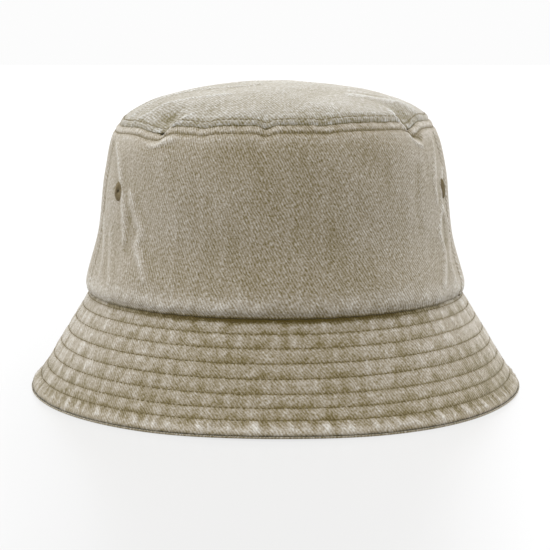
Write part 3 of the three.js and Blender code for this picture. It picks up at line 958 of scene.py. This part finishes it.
def brim_inner_layer(name, side, material, place, offset, lift, thickness, along, swell):
    """A layer below the brim's top cloth, which swells downwards between the rows."""
    first, last = PANELS[side]
    angles, _ = panel_columns(first, last, 1.5, BRIM_RING_RADIUS, BRIM_SIDE_GAP)
    angle, step = np.meshgrid(angles, along)
    between, _ = row_profile(step - offset)
    relief = -swell * between * (0.28 + 0.12 * puckers(angle, step, 51))
    relief = relief * smooth_step(step - offset, 2.0, 5.0)
    # Ridges lighter and hollows darker as on the top cloth, and painted shade on the first part of the lip
    # under the edge.
    wear_and_painted_light = -1.2 * relief_wear_and_shade(relief, False, 2, 12) - 0.6 * (1.0 - smooth_step(step, 0.4, 1.6))
    cloth_piece(
        f"{name}_{side}", material, lambda more: place(angle, step, more),
        relief, wear_and_painted_light, brim_cloth(angle, step - offset), lift, thickness,
    )


def brim_under(side):
    along = np.concatenate([
        np.linspace(UNDER.first, 0.0, 13)[:-1],
        spaced(0.0, UNDER.length, 0.8),
        [UNDER.length],
    ])
    brim_inner_layer(
        "brim_under", side, BRIM_TWILL, under_point, UNDER_OFFSET, 0.0, TWILL_THICKNESS, along, 1.0,
    )


def brim_interlining(side):
    along = np.append(spaced(4.5, BRIM.length - 1.0, 1.0), BRIM.length - 1.0)
    brim_inner_layer(
        "brim_interlining", side, INTERLINING_CLOTH, brim_point, 0.0,
        INTERLINING_LIFT, INTERLINING_THICKNESS, along, 0.0,
    )


# --- threads


def tube(centre, out, sides, radius, closed):
    """A thin tube along a line of points, with its cross-section turned by the outward directions."""
    count = len(centre)
    if closed:
        ahead = np.roll(centre, -1, axis=0) - np.roll(centre, 1, axis=0)
    else:
        ahead = np.gradient(centre, axis=0)
    ahead /= np.linalg.norm(ahead, axis=1)[:, None]
    side = np.cross(ahead, out)
    side /= np.linalg.norm(side, axis=1)[:, None]
    up = np.cross(side, ahead)
    turns = np.arange(sides) * 2.0 * math.pi / sides
    ring = centre[:, None, :] + radius * (
        side[:, None, :] * np.cos(turns)[None, :, None] + up[:, None, :] * np.sin(turns)[None, :, None]
    )
    index = np.arange(count * sides).reshape(count, sides)
    following = np.roll(index, -1, axis=0) if closed else index[1:]
    current = index if closed else index[:-1]
    quads = np.stack(
        [current, np.roll(current, -1, axis=1), np.roll(following, -1, axis=1), following], axis=-1
    ).reshape(-1, 4)
    faces = quads.tolist()
    if not closed:
        faces.append(index[0][::-1].tolist())
        faces.append(index[-1].tolist())
    return ring.reshape(-1, 3), faces


def join_parts(parts):
    """Several meshes as one."""
    points, faces, start = [], [], 0
    for part_points, part_faces in parts:
        points.append(part_points)
        faces.extend([[k + start for k in face] for face in part_faces])
        start += len(part_points)
    return np.vstack(points), faces


def stitched_line(place, angle, along, rest, closed):
    """One thread that shows as stitches and dips into the cloth between them."""
    base = place(angle, along, rest)
    steps = np.linalg.norm(np.diff(base, axis=0), axis=1)
    travelled = np.concatenate([[0.0], np.cumsum(steps)])
    total = travelled[-1] + (np.linalg.norm(base[0] - base[-1]) if closed else 0.0)
    stitches = max(1, round(total / STITCH_LENGTH))
    phase = 2.0 * math.pi * stitches * travelled / total
    rise = np.clip(0.35 + np.cos(phase), -0.65, 0.75)
    lifted = place(angle, along, rest + STITCH_DIP * (rise - 0.6))
    out = place(angle, along, rest + 1.0) - base
    out /= np.linalg.norm(out, axis=1)[:, None]
    return tube(lifted, out, 5, THREAD_RADIUS, closed)


def ring_angles(radius):
    """Azimuths all the way round, three to a millimetre."""
    count = int(math.radians(360.0) * radius * 3.0)
    return np.arange(count) * 360.0 / count


def lower_stitches(place, angle, depth, along, rest):
    """The stitches of a thread on the inner side of the cloth."""
    return stitched_line(
        lambda a, s, lift: place(a, s, -depth - lift), angle, along, np.full(len(angle), rest), True,
    )


def brim_rows():
    for number, row in enumerate(ROWS_ALONG, start=1):
        angle = ring_angles(BRIM.place(row)[0])
        along = np.full(len(angle), row)
        above = stitched_line(brim_point, angle, along, brim_relief(angle, along) + 0.1, True)
        under = lower_stitches(brim_point, angle, 2.5, along, 0.12)
        points, faces = join_parts([above, under])
        make_piece(f"brim_stitch_row_{number}", points, faces, ROW_THREAD)


def top_stitches():
    angle = ring_angles(RIM_RADIUS)
    lower = np.full(len(angle), WALL.length + GROOVE_HALF_WIDTH - TOP_STITCH_OFFSET)
    upper = np.full(len(angle), UPPER_STITCH_OFFSET - GROOVE_HALF_WIDTH)
    for name, place, relief, along in (
        ("top_stitch_lower", wall_point, wall_relief, lower),
        ("top_stitch_upper", dome_point, dome_relief, upper),
    ):
        points, faces = stitched_line(place, angle, along, relief(angle, along) + 0.14, True)
        make_piece(name, points, faces, SEAM_THREAD)


def side_stitches():
    along = np.arange(2.0, WALL.length - 6.0, 0.33)
    offset = math.degrees(SIDE_STITCH_OFFSET / WALL_FOLD_RADIUS)
    for side, sign in (("left", -1.0), ("right", 1.0)):
        for end, way in (("front", -1.0), ("back", 1.0)):
            angle = np.full(len(along), sign * (SIDE_SEAM_ANGLE + way * offset))
            points, faces = stitched_line(wall_point, angle, along, wall_relief(angle, along), False)
            make_piece(f"side_stitch_{side}_{end}", points, faces, SEAM_THREAD)


# --- eyelets


def eyelet(name, angle, along):
    """An embroidered air hole: a ring of tight satin stitches around a small opening."""
    centre = wall_point(np.array([angle]), np.array([along]), 0.0)[0]
    lift = float(wall_relief(np.array([angle]), np.array([along]))[0])
    out = wall_point(np.array([angle]), np.array([along]), 1.0)[0] - centre
    out /= np.linalg.norm(out)
    across = np.cross((0.0, 0.0, 1.0), out)
    across /= np.linalg.norm(across)
    up = np.cross(out, across)
    wide = EYELET_WIDTHS.get(name, 1.0)
    profile = np.array([
        (EYELET_HOLE, -0.5), (EYELET_HOLE + 0.05, 0.3), (EYELET_HOLE + 0.5, 0.85),
        (EYELET_HOLE + 1.2, 1.05), (EYELET_RADIUS - 1.0, 0.8), (EYELET_RADIUS - 0.35, 0.4),
        (EYELET_RADIUS, -0.1), (EYELET_RADIUS - 0.2, -0.6), (EYELET_RADIUS - 0.6, -1.2),
        (EYELET_HOLE + 0.7, -1.35),
    ])
    count = 288
    turn = np.arange(count) * 2.0 * math.pi / count
    ridge = 0.13 * np.cos(turn * 48.0)
    middle = profile.mean(axis=0)
    points = []
    for r, h in profile:
        share = np.array([r, h]) - middle
        share = share / np.linalg.norm(share)
        ring_r = r + ridge * share[0]
        ring_h = h + ridge * share[1] + lift
        round_hole = wide * np.cos(turn)[:, None] * across + 1.15 * np.sin(turn)[:, None] * up
        points.append(centre + ring_r[:, None] * round_hole + ring_h[:, None] * out)
    points = np.array(points)
    index = np.arange(points.shape[0] * count).reshape(points.shape[0], count)
    following = np.roll(index, -1, axis=0)
    quads = np.stack([index, following, np.roll(following, -1, axis=1), np.roll(index, -1, axis=1)], axis=-1)
    faces = quads.reshape(-1, 4).tolist()
    make_piece(name, points.reshape(-1, 3), faces, EYELET_THREAD)


# --- inside the crown

TAPE_DEPTH = 1.5
TAPE_REACH = 7.5
TAPE_THICKNESS = 0.5
SIDE_TAPE_HALF_WIDTH = 5.5
SIDE_TAPE_LIFT = -1.9
BAND_THICKNESS = 1.0
BAND_UNEVENNESS = 0.12
BAND_STITCH_RADIUS = 87.0
LABEL_HALF_THICKNESS = 0.2

BAND_LINE = Outline(((87.4, 46.8), (87.5, 57.5), (85.4, 76.5)))


def band_point(angle, along, lift):
    """A point of the sweatband, lifted off its outline."""
    radius, height = BAND_LINE.place(along)
    out_r, out_z = BAND_LINE.outward(along)
    return stand(radius + out_r * lift, angle, height + out_z * lift)


def ring_of_cloth(name, material, place, low, high, thickness, unevenness, seed):
    """A band that goes all the way round inside the crown."""
    angle, along = np.meshgrid(np.arange(360) * 1.0, np.append(spaced(low, high, 1.0), high))
    ring = ring_place(angle, LINING_RING_RADIUS)
    relief = unevenness * wave_noise((*ring, along * 0.4), 14.0, seed)
    cloth_piece(name, material, lambda lift: place(angle, along, lift), relief, 0.0 * relief,
                unrolled(angle, LINING_RING_RADIUS, along), 0.0, thickness, wrap=True)


def sweatband():
    ring_of_cloth("sweatband", BAND_COTTON, band_point, 0.0, BAND_LINE.length,
                  BAND_THICKNESS, BAND_UNEVENNESS, 61)
    angle = ring_angles(BAND_STITCH_RADIUS)
    points, faces = lower_stitches(band_point, angle, BAND_THICKNESS, np.full(len(angle), 3.0), 0.1)
    make_piece("sweatband_stitch", points, faces, ROW_THREAD)


def top_seam_tape():
    """The tape that covers the top seam's raw edges inside the crown, and follows every sag of the seam."""

    def place(angle, above, lift):
        side = np.abs(above)
        wall = wall_point(angle, WALL.length - side, wall_relief(angle, WALL.length - side) + lift)
        dome = dome_point(angle, side, dome_relief(angle, side) + lift)
        share = smooth_step(above, -1.5, 1.5)[..., None]
        return wall * (1.0 - share) + dome * share

    ring_of_cloth("top_seam_tape", TAPE_COTTON, lambda a, s, lift: place(a, s, lift - TAPE_DEPTH),
                  -TAPE_REACH, TAPE_REACH, TAPE_THICKNESS, 0.0, 62)


def side_seam_tapes():
    width = math.degrees(SIDE_TAPE_HALF_WIDTH / WALL_FOLD_RADIUS)
    for side, sign in (("left", -1.0), ("right", 1.0)):
        middle = sign * SIDE_SEAM_ANGLE
        columns = np.linspace(middle - width, middle + width, 20)
        angle, along = np.meshgrid(columns, np.arange(30.0, 76.0, 1.0))
        relief = np.minimum(wall_relief(angle, along), 0.0)
        cloth = unrolled(angle, LINING_RING_RADIUS, along)
        cloth_piece(
            f"side_seam_tape_{side}", TAPE_COTTON, lambda lift: wall_point(angle, along, lift),
            relief, 0.0 * relief, cloth, SIDE_TAPE_LIFT, TAPE_THICKNESS,
        )


def size_label():
    """A small blank woven label, folded and sewn to the sweatband at the back."""
    low, high = (np.array(corner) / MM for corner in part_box("size_label"))
    x = np.linspace(low[0], high[0], 24)
    z = np.linspace(low[2], high[2], 18)
    across, up = np.meshgrid(x, z)
    middle = 0.5 * (low[0] + high[0])
    curl = 0.25 * np.sin((up - low[2]) / (high[2] - low[2]) * math.pi * 1.3) + 0.002 * (across - middle) ** 2
    depth = 0.5 * (low[1] + high[1]) - 0.15 * curl
    front = np.stack([across, depth - LABEL_HALF_THICKNESS, up], axis=-1)
    back = np.stack([across, depth + LABEL_HALF_THICKNESS, up], axis=-1)
    points, faces, _ = slab(front, back)
    make_piece("size_label", points, faces, LABEL_CLOTH)


# --- the camera, the floor and the lights

CAMERA_DISTANCE = 0.7952
CAMERA_HEIGHT = 0.16796
CAMERA_TILT = math.radians(8.2)
CAMERA_LENS = 104.85
SENSOR_WIDTH = 36.0
CAMERA_SHIFT = -0.001

camera_data = bpy.data.cameras.new("camera")
camera_data.lens = CAMERA_LENS
camera_data.sensor_width = SENSOR_WIDTH
camera_data.shift_x = CAMERA_SHIFT
camera_data.dof.use_dof = False
camera = place_object("camera", camera_data)
camera.location = (0.0, -CAMERA_DISTANCE, CAMERA_HEIGHT)
camera.rotation_euler = (0.5 * math.pi - CAMERA_TILT, 0.0, 0.0)
bpy.context.scene.camera = camera


LIGHT_SPREAD = math.radians(60.0)
WORLD_STRENGTH = 0.975
WHITE = (1.0, 1.0, 1.0, 1.0)

# Wide, far lights: name, azimuth from the front and positive to +X, elevation, strength.
LIGHTS = (
    ("top_light", 0.0, 80.0, 1.55),
    ("left_light", -90.0, 25.0, 2.05),
    ("left_back_light", -140.0, 25.0, 0.9),
    ("right_back_light", 140.0, 25.0, 2.4),
    ("right_front_light", 45.0, 30.0, 0.95),
)

for light_name, azimuth, elevation, strength in LIGHTS:
    light_data = bpy.data.lights.new(light_name, "SUN")
    light_data.angle = LIGHT_SPREAD
    light_data.energy = strength
    light = place_object(light_name, light_data)
    light.rotation_euler = (math.radians(90.0 - elevation), 0.0, math.radians(azimuth))

world = bpy.data.worlds.new("studio")
world.use_nodes = True
background = world.node_tree.nodes["Background"]
background.inputs[0].default_value = WHITE
background.inputs[1].default_value = WORLD_STRENGTH
bpy.context.scene.world = world
bpy.context.scene.view_settings.view_transform = "Standard"

FLOOR_REACH = 12.0
FLOOR_GLOW = 0.757

floor_mesh = bpy.data.meshes.new("floor")
floor_corners = [(x * FLOOR_REACH, y * FLOOR_REACH, 0.0) for x, y in ((-1, -1), (1, -1), (1, 1), (-1, 1))]
floor_mesh.from_pydata(floor_corners, [], [(0, 1, 2, 3)])
floor_paper = Wiring("floor_paper")
floor_paper.shade({
    "Base Color": (0.045, 0.045, 0.045, 1.0),
    "Roughness": 0.25,
    "Specular IOR Level": 0.03,
    "Emission Color": WHITE,
    "Emission Strength": FLOOR_GLOW,
})
floor_mesh.materials.append(floor_paper.material)
floor = place_object("floor", floor_mesh)


# --- making the hat

CROWN_SPACINGS = {"front": 0.75, "back": 0.95}
BRIM_SPACINGS = {"front": 0.8, "back": 1.1}

for side, spacing in CROWN_SPACINGS.items():
    crown_panel(side, spacing)
crown_top()
for side, spacing in BRIM_SPACINGS.items():
    brim_upper(side, spacing)
for side in PANELS:
    brim_under(side)
    brim_interlining(side)
brim_rows()
top_stitches()
side_stitches()
for eyelet_name, (eyelet_angle, eyelet_along) in EYELET_PLACES.items():
    eyelet(eyelet_name, eyelet_angle, eyelet_along)
sweatband()
top_seam_tape()
side_seam_tapes()
size_label()

# --- the cut sizes of the cloth


for side in PANELS:
    own = [name for name in EYELET_PLACES if side in name]
    own += [f"side_stitch_{hand}_{side}" for hand in ("left", "right")]
